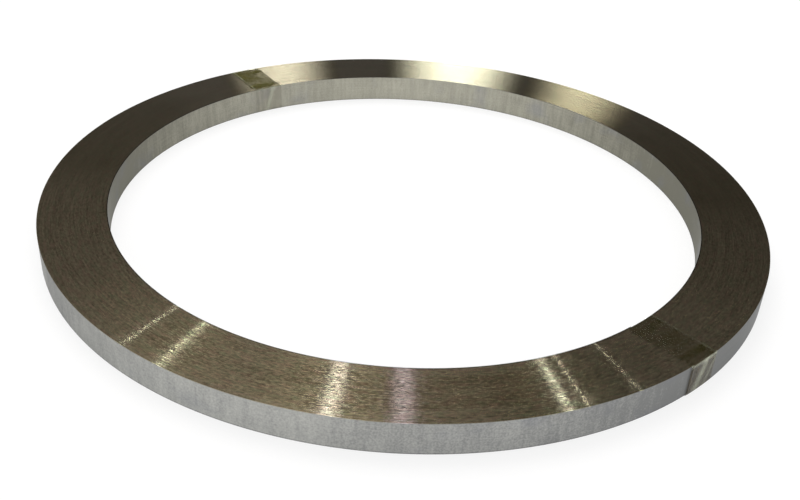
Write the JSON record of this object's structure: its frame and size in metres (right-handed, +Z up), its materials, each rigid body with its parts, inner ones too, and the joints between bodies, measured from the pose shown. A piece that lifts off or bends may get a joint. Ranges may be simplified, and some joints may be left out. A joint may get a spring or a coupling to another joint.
{
  "type": "coil of stainless steel band",
  "caption": "Flat ring coil of narrow slit stainless steel band with an open bore, its turns held by two loops of clear adhesive tape.",
  "frame": {"origin": "on the axis of the bore, on the floor that the coil lies on, which is the underside of the tape under the ring", "axes": "+Z up along the bore's axis; -Y is the side that faces the viewer in the picture and +X is that viewer's right"},
  "size_m": [0.4879, 0.4875, 0.0203],
  "materials": {
    "band_steel": "satin",
    "clear_tape": "gloss"
  },
  "bodies": {
    "root": {"band_coil": "band_steel", "tape_wrap_front": "clear_tape", "tape_wrap_rear": "clear_tape"}
  },
  "joints": []
}
